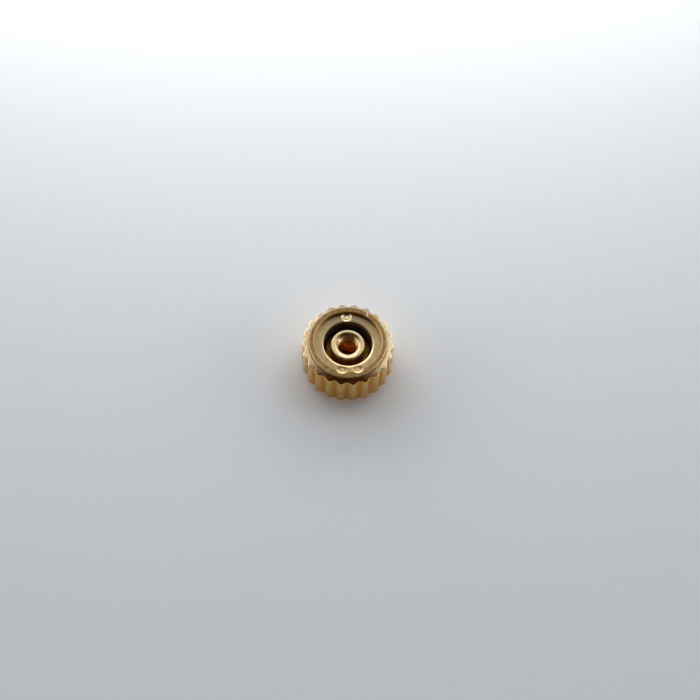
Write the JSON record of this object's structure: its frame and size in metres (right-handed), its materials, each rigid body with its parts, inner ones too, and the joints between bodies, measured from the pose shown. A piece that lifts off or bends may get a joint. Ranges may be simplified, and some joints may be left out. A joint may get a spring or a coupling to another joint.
{
  "type": "watch crown",
  "caption": "Push-fit watch crown with a fluted sheet cap, a smooth case-side neck, a tapped stem post and a rubber gasket held under a staked retaining ring.",
  "frame": {"origin": "centre of the crown's footprint, at the lowest point of its dome", "axes": "+Z along the stem axis, from the domed outer face towards the case side"},
  "size_m": [0.004, 0.004, 0.0021],
  "materials": {
    "cap_gold": "gold plate, pressed and polished",
    "core_gold": "gold plate, turned and polished",
    "ring_gold": "pale gold plate, satin",
    "gasket_rubber": "smooth black rubber",
    "post_gold": "gold plate, turned"
  },
  "bodies": {
    "root": {"knurled_cap": "cap_gold", "core": "core_gold", "retaining_ring": "ring_gold", "gasket": "gasket_rubber", "stem_post": "post_gold"}
  },
  "joints": []
}
